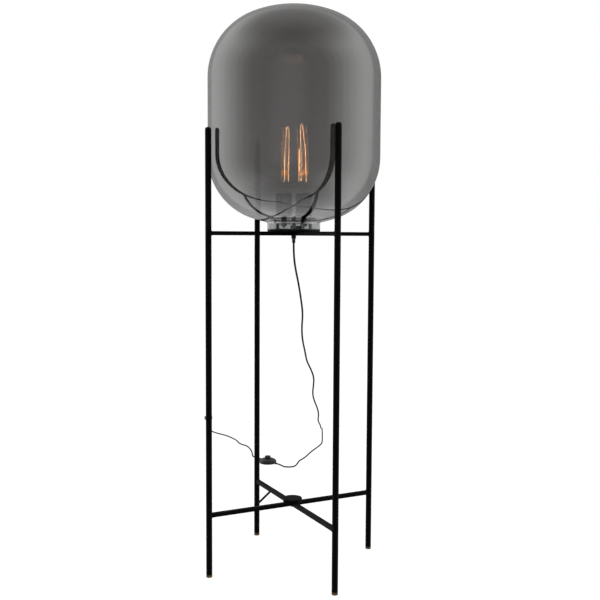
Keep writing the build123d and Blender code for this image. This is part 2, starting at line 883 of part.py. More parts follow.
hanging_route = [
    (0, 0, grip_bottom), (0, 0, 796), (-3, 20, 761), (-6, 56, 719), (-13, 99, 674), (-23, 146, 630),
    (-42, 194, 587), (-56, 243, 546), (-65, 294, 508), (-76, 344, 472), (-76, 388, 440), (-81, 433, 408),
    (-97, 478, 375), (-115, 526, 341), (-126, 578, 310), (-133, 630, 279), (-143, 682, 249),
    (-160, 735, 221), (-178, 790, 202), (-197, 854, 181), (-215, 919, 160), (-231, 988, 137),
    (-251, 1055, 118), (-270, 1122, 98), (-288, 1182, 80), (-299, 1231, 68),
]
turning_route = [(-307.7, 1264.7, 57.5), (-310.4, 1275.9, 38), (-309.3, 1272.6, 16.5)]
lying_route = [
    (-304.9, 1256.1, floor_line), (-302, 1225, floor_line), (-301, 1186, floor_line),
    (-302, 1135, floor_line), (-302, 1087, floor_line), (-299, 1043, floor_line), (-298, 1000, floor_line),
    (-303, 958, floor_line), (-296, 917, floor_line), (-292, 880, floor_line),
    (-305, 862.3, floor_line), (-326.5, 857.4, floor_line),
]
plug_route = [
    (-489, 957, 4), (-505, 996, floor_line), (-526, 1039, floor_line), (-551, 1079, floor_line),
    (-575, 1109, floor_line), (-600, 1120, floor_line), (-622, 1142, floor_line), (-643, 1175, floor_line),
    (-672, 1204, floor_line), (-702, 1230, floor_line), (-739, 1255, floor_line), (-777, 1271, floor_line),
    (-813, 1297, floor_line), (-842, 1338, floor_line), (-863, 1386, floor_line), (-884, 1428, 3),
]
plug_axis = Vector(cos(radians(plug_turn)), sin(radians(plug_turn)), 0)
plug_start = Vector(-913, 1487, plug_thickness / 2)
plug_approach = plug_start - plug_axis * 28


def cord_lamp_to_switch():
    route = hanging_route + turning_route + lying_route
    route += [beside_switch(-cord_approach), beside_switch(-boot_reach)]
    return swept(route, cord_diameter, "cord_lamp_to_switch")


def cord_switch_to_plug():
    route = [beside_switch(boot_reach), beside_switch(cord_approach)] + plug_route
    route += [tuple(plug_approach), tuple(plug_start)]
    return swept(route, cord_diameter, "cord_switch_to_plug")


# ---------------------------------------------------------------- plug
plug_place = Pos(*plug_start) * Rot(0, 0, plug_turn)


def plug_body():
    """Flat moulded body that widens to its face, with the sleeve round the cord."""
    back = plug_boot_length
    front = back + plug_length
    wide = plug_width / 2
    rear = plug_rear_width / 2
    outline = [
        (back, -rear), (front - plug_front_length, -wide), (front, -wide),
        (front, wide), (front - plug_front_length, wide), (back, rear),
    ]
    plan = make_face(Polyline(*outline, close=True))
    plan = fillet(plan.vertices(), plug_round)
    block = extrude(plan, plug_thickness / 2, both=True)
    block = fillet(block.edges().group_by(Axis.Z)[0] + block.edges().group_by(Axis.Z)[-1], plug_round * 0.8)
    sleeve = turned_polygon([(0, 0), (plug_boot_tip_radius, 0), (plug_boot_root_radius, back + 1), (0, back + 1)])
    block += Rot(0, 90, 0) * sleeve
    for side in (-1, 1):
        seat = Pos(front - plug_pin_seat / 2, side * plug_pin_spacing / 2, 0) * Rot(0, 90, 0)
        block -= seat * Cylinder(plug_root_radius, plug_pin_seat)
    return plug_place * block


def plug_pin(side):
    """Round pin on a slimmer root that is moulded into the body."""
    face = plug_boot_length + plug_length
    shank = rod(plug_pin_radius, face + plug_root_out, face + plug_pin_length)
    shank = fillet(shank.edges().group_by(Axis.Z)[-1], plug_pin_round)
    pin = shank + rod(plug_root_radius, face - plug_pin_seat, face + plug_root_out)
    return plug_place * Pos(0, side * plug_pin_spacing / 2, 0) * Rot(0, 90, 0) * pin


# ---------------------------------------------------------------- write every node
for name, place in corners.items():
    save(leg(place), "leg_" + name)
    save(upper_arm(place), "upper_arm_" + name)
save([leg_cap(place) for place in corners.values()], "leg_caps")
save([foot_pad(place) for place in corners.values()], "foot_pads")
save(upper_hub(), "upper_hub")
save(lower_bar("front_left", "back_right", 1), "lower_bar_right_diagonal")
save(lower_bar("front_right", "back_left", -1), "lower_bar_left_diagonal")
save(lower_disc(), "lower_disc")
save(lower_disc_screw(), "lower_disc_screw")
save(corner_strut(corners["back_left"]), "corner_strut")

save(globe(), "globe")
save(seat_plate(), "seat_plate")
save(neck_gasket(), "neck_gasket")

save(centre_nipple(), "centre_nipple")
save(lock_nuts(), "lock_nuts")
save(holder_bracket(), "holder_bracket")
save([holder_spacer(x) for x in holder_places.values()], "holder_spacers")
save([holder_stub(x) for x in holder_places.values()], "holder_stubs")
save(terminal_block(), "terminal_block")
save(supply_lead(), "supply_lead")
save([holder_lead(x) for x in holder_places.values()], "holder_leads")

for name, x in holder_places.items():
    save(holder_cap(x), "holder_" + name + "_cap")
    save(holder_skirt(x), "holder_" + name + "_skirt")
    save(holder_core(x), "holder_" + name + "_core")
    save(holder_thread(x), "holder_" + name + "_thread")
    save(holder_contact(x), "holder_" + name + "_contact")
    save(bulb_glass(x), "bulb_" + name + "_glass")
    save(bulb_cap(x), "bulb_" + name + "_cap")
    save(bulb_contact(x), "bulb_" + name + "_contact")
    save(bulb_stem(x), "bulb_" + name + "_stem")
    save(bulb_filament(x), "bulb_" + name + "_filament")

save(cord_grip(), "cord_grip")
save(switch_lower_shell(), "switch_lower_shell")
save(switch_upper_shell(), "switch_upper_shell")
save(switch_button(), "switch_button")
save(switch_spring(), "switch_spring")
save(switch_contact_block(), "switch_contact_block")
save([switch_screw(x, y) for x, y in screw_places()], "switch_screws")
save([switch_place * boot(side) for side in (-1, 1)], "switch_boots")
save([switch_place * cord_end(side) for side in (-1, 1)], "switch_cord_ends")
save(cord_lamp_to_switch(), "cord_lamp_to_switch")
save(cord_switch_to_plug(), "cord_switch_to_plug")
save(plug_body(), "plug_body")
save([plug_pin(side) for side in (-1, 1)], "plug_pins")
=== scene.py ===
import bpy
import json
from math import asin, atan2, cos, degrees, pi, radians, sin, sqrt
from mathutils import Matrix, Vector


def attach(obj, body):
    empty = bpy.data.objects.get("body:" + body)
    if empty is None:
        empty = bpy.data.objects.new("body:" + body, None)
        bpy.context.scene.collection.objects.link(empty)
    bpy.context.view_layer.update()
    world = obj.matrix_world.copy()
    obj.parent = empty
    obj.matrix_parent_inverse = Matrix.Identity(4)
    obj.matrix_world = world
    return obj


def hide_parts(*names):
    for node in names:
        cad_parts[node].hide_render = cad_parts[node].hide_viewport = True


# Globe floor lamp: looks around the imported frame. Metres, +Z up, origin on the floor between the legs.

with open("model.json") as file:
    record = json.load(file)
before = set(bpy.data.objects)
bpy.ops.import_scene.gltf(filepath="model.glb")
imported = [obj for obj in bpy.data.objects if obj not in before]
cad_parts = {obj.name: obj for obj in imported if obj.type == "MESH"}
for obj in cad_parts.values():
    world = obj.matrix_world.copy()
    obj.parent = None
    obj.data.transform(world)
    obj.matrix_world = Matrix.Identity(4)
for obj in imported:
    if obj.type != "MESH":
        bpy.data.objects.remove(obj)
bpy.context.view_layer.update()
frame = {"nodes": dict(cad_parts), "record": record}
nodes = frame["nodes"]

FRAME_BODY = "frame_body"
GLOBE_BODY = "globe_body"

# ---------------------------------------------------------------- sizes of the pieces made here
LEG_OFFSET = 0.16075
LEG_RADIUS = 0.0075
BAR_SIZE = 0.010
UPPER_CROSS = 0.8445
LOWER_CROSS = 0.1545
WELD_BEAD = 0.0011          # radius of a weld bead
WELD_RIPPLE = 0.00022
WELD_POINTS = 14            # along one bead
WELD_STAND_OFF = 0.25       # of the bead's radius, out from the leg's face
PAD_DARK_BAND_HEIGHT = 0.0035

GLOBE_RADIUS = 0.214
GLOBE_TOP = 1.400
GLOBE_WALL = (1.033, 1.225)
GLOBE_POLE_LOW = 0.866
TOP_SHOULDER = 0.1655
LOW_SHOULDER = 0.158
GLASS = 0.003
NECK_RADIUS = 0.066
NECK_FILLET = 0.005
LIP = 0.854
LIP_ROUND = 0.0008
GLOBE_STEPS = 288           # round the globe
COAT_LOW = GLOBE_POLE_LOW + 0.004       # where the mirror coat begins, above the neck
SMOKE_LOW = LIP
SMOKE_HIGH = LIP + 0.4

HOLDER_PLACES = {"left": -0.0265, "right": 0.0265}
BULB_TIP = 0.9125           # underside of each bulb's contact
SOLDER_HEIGHT = BULB_TIP + 0.0016
SOLDER_EDGE = 0.0002
WIRE_RADIUS = 0.00038
WIRE_BRIGHT = 22.0          # glow of the main strands
# the short loops' glow also paints the amber reflection off the filament supports
WIRE_DIM = 4.2              # glow of the short loops near the stem

CORD_RADIUS = 0.0025
CORD_RESOLUTION = 10

# ---------------------------------------------------------------- camera: position, aim and turn of the picture
CAMERA_PLACE = Vector((0.7122, -2.0785, 0.8410))
CAMERA_HEADING = Vector((-0.3170, 0.9484, 0.0)).normalized()
CAMERA_PITCH = radians(4.252)
CAMERA_ROLL = radians(0.290)
CAMERA_LENS = 52.41         # millimetres, on a sensor as wide as below
CAMERA_SENSOR = 36.0


def make_camera():
    data = bpy.data.cameras.new("camera")
    data.lens = CAMERA_LENS
    data.sensor_width = CAMERA_SENSOR
    data.clip_start = 0.05
    data.clip_end = 60.0
    camera = bpy.data.objects.new("camera", data)
    bpy.context.scene.collection.objects.link(camera)
    ahead = CAMERA_HEADING * cos(CAMERA_PITCH) - Vector((0, 0, sin(CAMERA_PITCH)))
    right = ahead.cross(Vector((0, 0, 1))).normalized()
    up = right.cross(ahead)
    tilted_right = right * cos(CAMERA_ROLL) + up * sin(CAMERA_ROLL)
    tilted_up = up * cos(CAMERA_ROLL) - right * sin(CAMERA_ROLL)
    turn = Matrix((tilted_right, tilted_up, -ahead)).transposed()
    camera.matrix_world = Matrix.Translation(CAMERA_PLACE) @ turn.to_4x4()
    bpy.context.scene.camera = camera


# ---------------------------------------------------------------- cords
FLOOR_LINE = 0.0025
SWITCH_CENTRE = Vector((-0.406, 0.900, 0.0065))
SWITCH_TURN = radians(152.0)
SWITCH_AXIS = Vector((cos(SWITCH_TURN), sin(SWITCH_TURN), 0))
BOOT_REACH = 0.048
CORD_APPROACH = 0.068
PLUG_TURN = radians(114.8)
PLUG_AXIS = Vector((cos(PLUG_TURN), sin(PLUG_TURN), 0))
PLUG_START = Vector((-0.913, 1.487, 0.00685))
PLUG_APPROACH = 0.028

CORD_TO_SWITCH = [
    (0, 0, 0.821), (0, 0, 0.796), (-0.003, 0.020, 0.761), (-0.006, 0.056, 0.719), (-0.013, 0.099, 0.674),
    (-0.023, 0.146, 0.630), (-0.042, 0.194, 0.587), (-0.056, 0.243, 0.546), (-0.065, 0.294, 0.508),
    (-0.076, 0.344, 0.472), (-0.076, 0.388, 0.440), (-0.081, 0.433, 0.408), (-0.097, 0.478, 0.375),
    (-0.115, 0.526, 0.341), (-0.126, 0.578, 0.310), (-0.133, 0.630, 0.279), (-0.143, 0.682, 0.249),
    (-0.160, 0.735, 0.221), (-0.178, 0.790, 0.202), (-0.197, 0.854, 0.181), (-0.215, 0.919, 0.160),
    (-0.231, 0.988, 0.137), (-0.251, 1.055, 0.118), (-0.270, 1.122, 0.098), (-0.288, 1.182, 0.080),
    (-0.299, 1.231, 0.068),
    (-0.3077, 1.2647, 0.0575), (-0.3104, 1.2759, 0.038), (-0.3093, 1.2726, 0.0165),
    (-0.3049, 1.2561, FLOOR_LINE), (-0.302, 1.225, FLOOR_LINE), (-0.301, 1.186, FLOOR_LINE),
    (-0.302, 1.135, FLOOR_LINE), (-0.302, 1.087, FLOOR_LINE), (-0.299, 1.043, FLOOR_LINE),
    (-0.298, 1.000, FLOOR_LINE), (-0.303, 0.958, FLOOR_LINE), (-0.296, 0.917, FLOOR_LINE),
    (-0.292, 0.880, FLOOR_LINE), (-0.305, 0.8623, FLOOR_LINE), (-0.3265, 0.8574, FLOOR_LINE),
]
CORD_TO_PLUG = [
    (-0.489, 0.957, 0.004), (-0.505, 0.996, FLOOR_LINE), (-0.526, 1.039, FLOOR_LINE),
    (-0.551, 1.079, FLOOR_LINE), (-0.575, 1.109, FLOOR_LINE), (-0.600, 1.120, FLOOR_LINE),
    (-0.622, 1.142, FLOOR_LINE), (-0.643, 1.175, FLOOR_LINE), (-0.672, 1.204, FLOOR_LINE),
    (-0.702, 1.230, FLOOR_LINE), (-0.739, 1.255, FLOOR_LINE), (-0.777, 1.271, FLOOR_LINE),
    (-0.813, 1.297, FLOOR_LINE), (-0.842, 1.338, FLOOR_LINE), (-0.863, 1.386, FLOOR_LINE),
    (-0.884, 1.428, 0.003),
]


def beside_switch(distance):
    """A point on the cord's line through the switch, ahead of its centre."""
    return SWITCH_CENTRE + SWITCH_AXIS * distance


def round_cord(name, points):
    """A cord of round section along one smooth spline."""
    data = bpy.data.curves.new(name, "CURVE")
    data.dimensions = "3D"
    data.bevel_depth = CORD_RADIUS
    data.bevel_resolution = 6
    data.use_fill_caps = True
    spline = data.splines.new("NURBS")
    spline.points.add(len(points) - 1)
    for place, point in zip(spline.points, points):
        place.co = (*point, 1.0)
    spline.order_u = 3
    spline.use_endpoint_u = True
    spline.resolution_u = CORD_RESOLUTION
    cord = bpy.data.objects.new(name, data)
    bpy.context.scene.collection.objects.link(cord)
    return cord


def make_cords(finish):
    to_switch = CORD_TO_SWITCH + [beside_switch(-CORD_APPROACH), beside_switch(-BOOT_REACH)]
    to_plug = [beside_switch(BOOT_REACH), beside_switch(CORD_APPROACH)] + CORD_TO_PLUG
    to_plug += [PLUG_START - PLUG_AXIS * PLUG_APPROACH, PLUG_START]
    lamp_cord = round_cord("lamp_cord", to_switch)
    plug_cord = round_cord("plug_cord", to_plug)
    for cord, node in ((lamp_cord, "cord_lamp_to_switch"), (plug_cord, "cord_switch_to_plug")):
        cord.data.materials.append(finish)
        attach(cord, FRAME_BODY)
        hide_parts(node)


# ---------------------------------------------------------------- turned pieces
def lathe(name, outline, steps):
    """Smooth shell of revolution about the upright axis. The outline is (radius, height) from pole to pole."""
    vertices, faces, rings = [], [], []
    for radius, height in outline:
        if radius < 1e-7:
            rings.append([len(vertices)])
            vertices.append((0.0, 0.0, height))
            continue
        rings.append(list(range(len(vertices), len(vertices) + steps)))
        for step in range(steps):
            angle = 2 * pi * step / steps
            vertices.append((radius * cos(angle), radius * sin(angle), height))
    for low, high in zip(rings, rings[1:]):
        for step in range(steps):
            after = (step + 1) % steps
            if len(low) == 1:
                faces.append((low[0], high[after], high[step]))
            elif len(high) == 1:
                faces.append((low[step], low[after], high[0]))
            else:
                faces.append((low[step], low[after], high[after], high[step]))
    mesh = bpy.data.meshes.new(name)
    mesh.from_pydata(vertices, [], faces)
    mesh.validate()
    mesh.shade_smooth()
    piece = bpy.data.objects.new(name, mesh)
    bpy.context.scene.collection.objects.link(piece)
    return piece


def arc(centre, radius, start, end, count):
    """Points on an arc in the outline's plane, angles in degrees, both ends included."""
    points = []
    for step in range(count + 1):
        angle = radians(start + (end - start) * step / count)
        points.append((centre[0] + radius * cos(angle), centre[1] + radius * sin(angle)))
    return points


def straight(start, end, count):
    """The points that divide a straight run, without its two ends."""
    return [(start[0] + (end[0] - start[0]) * step / count, start[1] + (end[1] - start[1]) * step / count)
            for step in range(1, count)]


def dome(height, shoulder):
    """The crown's radius and the angle where it takes over from the shoulder."""
    crown = (GLOBE_RADIUS ** 2 + height ** 2 - 2 * GLOBE_RADIUS * shoulder) / (2 * (height - shoulder))
    return crown, degrees(atan2(crown - height, GLOBE_RADIUS - shoulder))


def globe_skin(inset):
    """One face of the shell as points, from the lip up to the top pole."""
    top_crown, top_turn = dome(GLOBE_TOP - GLOBE_WALL[1], TOP_SHOULDER)
    low_crown, low_turn = dome(GLOBE_WALL[0] - GLOBE_POLE_LOW, LOW_SHOULDER)
    neck = NECK_RADIUS - inset
    low_centre = (0, GLOBE_POLE_LOW + low_crown)
    fillet = NECK_FILLET + inset
    # the neck opens into the crown round a fillet whose centre is outside the glass
    reach = low_crown - inset + fillet
    middle = (neck + fillet, low_centre[1] - sqrt(reach ** 2 - (neck + fillet) ** 2))
    away = atan2(low_centre[1] - middle[1], -middle[0])
    crown_start = degrees(away) - 180
    points = [(neck, LIP + LIP_ROUND)]
    points += straight((neck, LIP + LIP_ROUND), (neck, middle[1]), 4)
    points += arc(middle, fillet, 180, degrees(away), 10)
    points += arc(low_centre, low_crown - inset, crown_start, -low_turn, 40)[1:]
    points += arc((GLOBE_RADIUS - LOW_SHOULDER, GLOBE_WALL[0]), LOW_SHOULDER - inset, -low_turn, 0, 48)[1:]
    points += straight((GLOBE_RADIUS - inset, GLOBE_WALL[0]), (GLOBE_RADIUS - inset, GLOBE_WALL[1]), 16)
    points += arc((GLOBE_RADIUS - TOP_SHOULDER, GLOBE_WALL[1]), TOP_SHOULDER - inset, 0, top_turn, 48)
    points += arc((0, GLOBE_TOP - top_crown), top_crown - inset, top_turn, 90, 32)[1:]
    return points


def make_globe(finish, neck_finish):
    """The blown shell, finely divided so that it mirrors cleanly."""
    outer = globe_skin(0)
    inner = globe_skin(GLASS)
    lip = arc((NECK_RADIUS - LIP_ROUND, LIP + LIP_ROUND), LIP_ROUND, -90, 0, 4)[:-1]
    lip_inner = arc((NECK_RADIUS - GLASS + LIP_ROUND, LIP + LIP_ROUND), LIP_ROUND, 180, 270, 4)[1:]
    outline = list(reversed(inner)) + lip_inner + lip + outer
    outline[0] = (0.0, GLOBE_TOP - GLASS)
    outline[-1] = (0.0, GLOBE_TOP)
    globe = lathe("smoked_globe", outline, GLOBE_STEPS)
    globe.data.materials.append(finish)
    globe.data.materials.append(neck_finish)
    for face in globe.data.polygons:
        if face.center.z < COAT_LOW:
            face.material_index = 1
    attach(globe, GLOBE_BODY)
    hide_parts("globe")


# ---------------------------------------------------------------- filaments and welds
ACROSS = Vector((CAMERA_HEADING.y, -CAMERA_HEADING.x, 0))      # the way that the strands fan out

# Strands as (across, height) in millimetres, across from the bulb's own axis and up from the floor.
# Loops give the span that the crumpled ones fill; their glow also paints the amber reflection off the filament
# supports.
STRANDS = {
    "left": {
        "bright": [
            [(1.0, 974), (1.5, 1018), (2.1, 1055), (4.4, 1078), (5.0, 1100), (6.4, 1109), (9.8, 1109),
             (12.4, 1100), (12.0, 1071), (12.2, 1040), (12.0, 1010), (11.0, 974)],
        ],
        "dim": [
            [(-5.8, 974), (-5.4, 1020), (-3.4, 1058), (-1.2, 1084), (-0.8, 1104)],
            [(5.4, 978), (6.4, 1010), (6.4, 1040), (7.4, 1070), (8.0, 1092)],
        ],
        "loops": (-6.5, 12.0),
    },
    "right": {
        "bright": [
            [(-7.8, 974), (-7.6, 1010), (-7.6, 1050), (-9.4, 1080), (-9.8, 1104), (-8.4, 1115), (-5.4, 1115),
             (-3.0, 1103), (-1.0, 1080), (0.6, 1066)],
            [(-12.8, 974), (-13.4, 1020), (-13.8, 1048), (-13.0, 1056), (-11.6, 1050), (-11.4, 1020), (-11.6, 996)],
            [(0.4, 1062), (1.4, 1069), (2.6, 1060), (3.2, 1030), (4.8, 1000), (5.2, 974)],
        ],
        "dim": [
            [(-17.4, 1104), (-16.6, 1060), (-15.6, 1030), (-14.8, 1010)],
            [(9.4, 978), (9.6, 1016), (7.8, 1066), (6.0, 1104)],
            [(-2.4, 980), (-3.4, 1020), (-3.2, 1056)],
        ],
        "loops": (-12.5, 10.5),
    },
}
LOOP_LOW = 978.0
LOOP_HIGH = 1012.0
LOOP_COUNT = 11
LOOP_SWAY = 1.5             # how far the loops' turns wander: across, down from the top, up from the bottom
LOOP_TOP_DROP = 5.0
LOOP_BOTTOM_RISE = 9.0
LOOP_LAYERS = ((0.4, 5.0), (1.9, -5.0))     # seed, and depth behind the axis
STRAND_DEPTHS = (-2.0, 2.5, -4.0, 4.0)      # of one strand after another, in front of and behind the axis


def wire_spline(curve, points, axis_x, depth, slot):
    """One strand; its points are (across, height) and it lies a depth behind the bulb's axis."""
    spline = curve.splines.new("NURBS")
    spline.points.add(len(points) - 1)
    for step, (place, (across, height)) in enumerate(zip(spline.points, points)):
        behind = depth * cos(pi * step / (len(points) - 1))
        spot = Vector((axis_x, 0, 0)) + ACROSS * across / 1000 + CAMERA_HEADING * behind / 1000
        place.co = (spot.x, spot.y, height / 1000, 1.0)
    spline.order_u = 3
    spline.use_endpoint_u = True
    spline.resolution_u = 6
    spline.material_index = slot


def crumpled_loops_and_reflection(span, seed):
    """Short crumpled loops over the stem, as one running zigzag of (across, height); their glow also paints the
    amber reflection off the filament supports.
    """
    low, high = span
    points = []
    for step in range(2 * LOOP_COUNT):
        share = step / (2 * LOOP_COUNT - 1)
        across = low + (high - low) * share + LOOP_SWAY * sin(2.3 * step + seed)
        top = LOOP_HIGH - LOOP_TOP_DROP * abs(sin(1.7 * step + seed))
        bottom = LOOP_LOW + LOOP_BOTTOM_RISE * abs(sin(1.1 * step + 2 * seed))
        points.append((across, top if step % 2 else bottom))
    return points


def make_filaments(bright, dim):
    """Each bulb's fine strands, hung in long and short hairpins over the stem."""
    for side, axis_x in HOLDER_PLACES.items():
        curve = bpy.data.curves.new("strands_" + side, "CURVE")
        curve.dimensions = "3D"
        curve.bevel_depth = WIRE_RADIUS
        curve.bevel_resolution = 2
        curve.use_fill_caps = True
        curve.materials.append(bright)
        curve.materials.append(dim)
        shapes = STRANDS[side]
        for depth, points in zip(STRAND_DEPTHS, shapes["bright"]):
            wire_spline(curve, points, axis_x, depth, 0)
        for points in shapes["dim"]:
            wire_spline(curve, points, axis_x, STRAND_DEPTHS[3], 1)
        # crumpled loops: glowing wire that also paints the amber reflection low in the bulb
        for seed, depth in LOOP_LAYERS:
            wire_spline(curve, crumpled_loops_and_reflection(shapes["loops"], seed), axis_x, depth, 1)
        strands = bpy.data.objects.new("strands_" + side, curve)
        bpy.context.scene.collection.objects.link(strands)
        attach(strands, "bulb_" + side + "_body")
        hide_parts("bulb_" + side + "_filament")


def make_welds(finish):
    """Rippled beads along the upper and lower edge of each bar's end, where it meets its leg."""
    curve = bpy.data.curves.new("weld_beads", "CURVE")
    curve.dimensions = "3D"
    curve.bevel_depth = WELD_BEAD
    curve.bevel_resolution = 3
    curve.use_fill_caps = True
    for level in (UPPER_CROSS, LOWER_CROSS):
        for turn in (45, 135, 225, 315):
            leg = Vector((cos(radians(turn)), sin(radians(turn)), 0)) * LEG_OFFSET * sqrt(2)
            inward = -leg.normalized()
            for edge in (-1, 1):
                add_bead(curve, leg, inward, level + edge * BAR_SIZE / 2)
    curve.materials.append(finish)
    beads = bpy.data.objects.new("weld_beads", curve)
    bpy.context.scene.collection.objects.link(beads)
    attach(beads, FRAME_BODY)


def add_bead(curve, leg, inward, level):
    """One bead round the leg's side, as wide as the bar."""
    half = asin(BAR_SIZE / 2 / LEG_RADIUS)
    heading = atan2(inward.y, inward.x)
    spline = curve.splines.new("POLY")
    spline.points.add(WELD_POINTS - 1)
    for step, place in enumerate(spline.points):
        angle = heading - half + 2 * half * step / (WELD_POINTS - 1)
        reach = LEG_RADIUS + WELD_BEAD * WELD_STAND_OFF
        place.co = (leg.x + reach * cos(angle), leg.y + reach * sin(angle), level, 1.0)
        place.radius = 1.0 + WELD_RIPPLE / WELD_BEAD * (1 if step % 2 else -1)


# ---------------------------------------------------------------- shader helpers
COLOUR_FIRST, COLOUR_SECOND, COLOUR_MIXED = 6, 7, 2     # the Mix node's colour sockets, two in and one out


def feed(tree, value, socket):
    """Link a socket, or write a plain number or colour."""
    if isinstance(value, bpy.types.NodeSocket):
        tree.links.new(value, socket)
    elif isinstance(value, tuple):
        socket.default_value = (*value, 1)
    else:
        socket.default_value = value


def math_node(tree, operation, first, second=0.0):
    """One sum on two values, each a socket or a number."""
    node = tree.nodes.new("ShaderNodeMath")
    node.operation = operation
    for socket, value in zip(node.inputs, (first, second)):
        feed(tree, value, socket)
    return node.outputs[0]


def ranged(tree, value, low, high, to_low=0.0, to_high=1.0):
    """A value carried from one range to another, clamped."""
    node = tree.nodes.new("ShaderNodeMapRange")
    for label, number in (("From Min", low), ("From Max", high), ("To Min", to_low), ("To Max", to_high)):
        node.inputs[label].default_value = number
    tree.links.new(value, node.inputs["Value"])
    return node.outputs["Result"]


def stepped_ramp(tree, value, stops, interpolation="LINEAR"):
    """A colour for a value, through stops of (position, colour)."""
    ramp = tree.nodes.new("ShaderNodeValToRGB")
    ramp.color_ramp.interpolation = interpolation
    elements = ramp.color_ramp.elements
    while len(elements) < len(stops):
        elements.new(0.5)
    for element, (position, colour) in zip(elements, stops):
        element.position = position
        element.color = (*colour, 1)
    tree.links.new(value, ramp.inputs["Fac"])
    return ramp.outputs["Color"]


def mixed_value(tree, factor, first, second):
    """Two numbers mixed, each a socket or a number."""
    node = tree.nodes.new("ShaderNodeMix")
    node.data_type = "FLOAT"
    tree.links.new(factor, node.inputs["Factor"])
    feed(tree, first, node.inputs["A"])
    feed(tree, second, node.inputs["B"])
    return node.outputs["Result"]


def mixed_colour(tree, factor, first, second):
    """Two colours mixed, each a socket or a plain colour."""
    node = tree.nodes.new("ShaderNodeMix")
    node.data_type = "RGBA"
    tree.links.new(factor, node.inputs["Factor"])
    feed(tree, first, node.inputs[COLOUR_FIRST])
    feed(tree, second, node.inputs[COLOUR_SECOND])
    return node.outputs[COLOUR_MIXED]


def dot_with(tree, place, axis):
    """How far a place lies along an axis."""
    along = tree.nodes.new("ShaderNodeVectorMath")
    along.operation = "DOT_PRODUCT"
    along.inputs[1].default_value = axis
    tree.links.new(place, along.inputs[0])
    return along.outputs["Value"]


# ---------------------------------------------------------------- stage and light
FLOOR_HALF = 14.0
FLOOR_TONE = (0.12, 0.12, 0.12)
FLOOR_GLOW = 0.93                   # as the camera sees the floor
ROOM_LEVEL = 0.85                   # as matt surfaces see the room
MIRROR_PEAK = 1.12                  # brightest side of the room, as the glass mirrors it
DIM_SIDE_TURN = radians(-7.0)       # of the room's dim side, from the camera's own direction
STEEP_FROM = 0.55                   # where the mirrored room fades, towards straight up and straight down
STEEP_TO = 0.95
STEEP_SHARE = 0.36                  # of the peak that is left there
# how bright the mirrored room is, from the side behind the lamp (0) round to the camera's side (1)
ROOM_SIDES = [
    (0.0, 0.18), (0.117, 0.42), (0.213, 0.90), (0.31, 1.0), (0.41, 0.94), (0.51, 0.80), (0.60, 0.64),
    (0.69, 0.46), (0.765, 0.32), (0.835, 0.225), (0.93, 0.20), (1.0, 0.27),
]


def make_stage():
    """White floor that glows for the camera alone and takes the lamp's shadow."""
    mesh = bpy.data.meshes.new("floor")
    half = FLOOR_HALF
    mesh.from_pydata([(-half, -half, 0), (half, -half, 0), (half, half, 0), (-half, half, 0)], [], [(0, 1, 2, 3)])
    floor = bpy.data.objects.new("floor", mesh)
    bpy.context.scene.collection.objects.link(floor)
    material = bpy.data.materials.new("floor_white")
    material.use_nodes = True
    tree = material.node_tree
    tree.nodes.clear()
    output = tree.nodes.new("ShaderNodeOutputMaterial")
    add = tree.nodes.new("ShaderNodeAddShader")
    diffuse = tree.nodes.new("ShaderNodeBsdfDiffuse")
    feed(tree, FLOOR_TONE, diffuse.inputs["Color"])
    glow = tree.nodes.new("ShaderNodeEmission")
    rays = tree.nodes.new("ShaderNodeLightPath")
    seen = math_node(tree, "MULTIPLY", rays.outputs["Is Camera Ray"], FLOOR_GLOW)
    tree.links.new(seen, glow.inputs["Strength"])
    tree.links.new(diffuse.outputs[0], add.inputs[0])
    tree.links.new(glow.outputs[0], add.inputs[1])
    tree.links.new(add.outputs[0], output.inputs["Surface"])
    mesh.materials.append(material)
    floor.visible_glossy = False
    floor.visible_transmission = False


def make_world():
    """White to the eye and through glass; mirrored, the room is bright at the sides and dim before the camera."""
    world = bpy.data.worlds.new("studio")
    bpy.context.scene.world = world
    world.use_nodes = True
    tree = world.node_tree
    tree.nodes.clear()
    output = tree.nodes.new("ShaderNodeOutputWorld")
    background = tree.nodes.new("ShaderNodeBackground")
    background.inputs["Color"].default_value = (1, 1, 1, 1)
    place = tree.nodes.new("ShaderNodeTexCoord").outputs["Generated"]
    toward = dot_with(tree, place, Matrix.Rotation(DIM_SIDE_TURN, 3, "Z") @ -CAMERA_HEADING)
    sides = [(position, (level, level, level)) for position, level in ROOM_SIDES]
    side_level = stepped_ramp(tree, ranged(tree, toward, -1.0, 1.0), sides, "EASE")
    height = tree.nodes.new("ShaderNodeSeparateXYZ")
    tree.links.new(place, height.inputs[0])
    steepness = math_node(tree, "ABSOLUTE", height.outputs["Z"])
    fade = ranged(tree, steepness, STEEP_FROM, STEEP_TO, MIRROR_PEAK, MIRROR_PEAK * STEEP_SHARE)
    fade.node.interpolation_type = "SMOOTHSTEP"
    mirror_level = math_node(tree, "MULTIPLY", side_level, fade)
    rays = tree.nodes.new("ShaderNodeLightPath")
    lit = mixed_value(tree, rays.outputs["Is Glossy Ray"], ROOM_LEVEL, mirror_level)
    seen = math_node(tree, "MAXIMUM", rays.outputs["Is Camera Ray"], rays.outputs["Is Transmission Ray"])
    tree.links.new(mixed_value(tree, seen, lit, 1.0), background.inputs["Strength"])
    tree.links.new(background.outputs[0], output.inputs["Surface"])


def area_light(name, place, aim, size, power):
    """A round soft light that no mirror, glass or camera shows."""
    data = bpy.data.lights.new(name, "AREA")
    data.shape = "DISK"
    data.size = size
    data.energy = power
    light = bpy.data.objects.new(name, data)
    bpy.context.scene.collection.objects.link(light)
    light.location = place
    light.rotation_euler = (Vector(aim) - Vector(place)).to_track_quat("-Z", "Y").to_euler()
    light.visible_glossy = False
    light.visible_transmission = False
    light.visible_camera = False


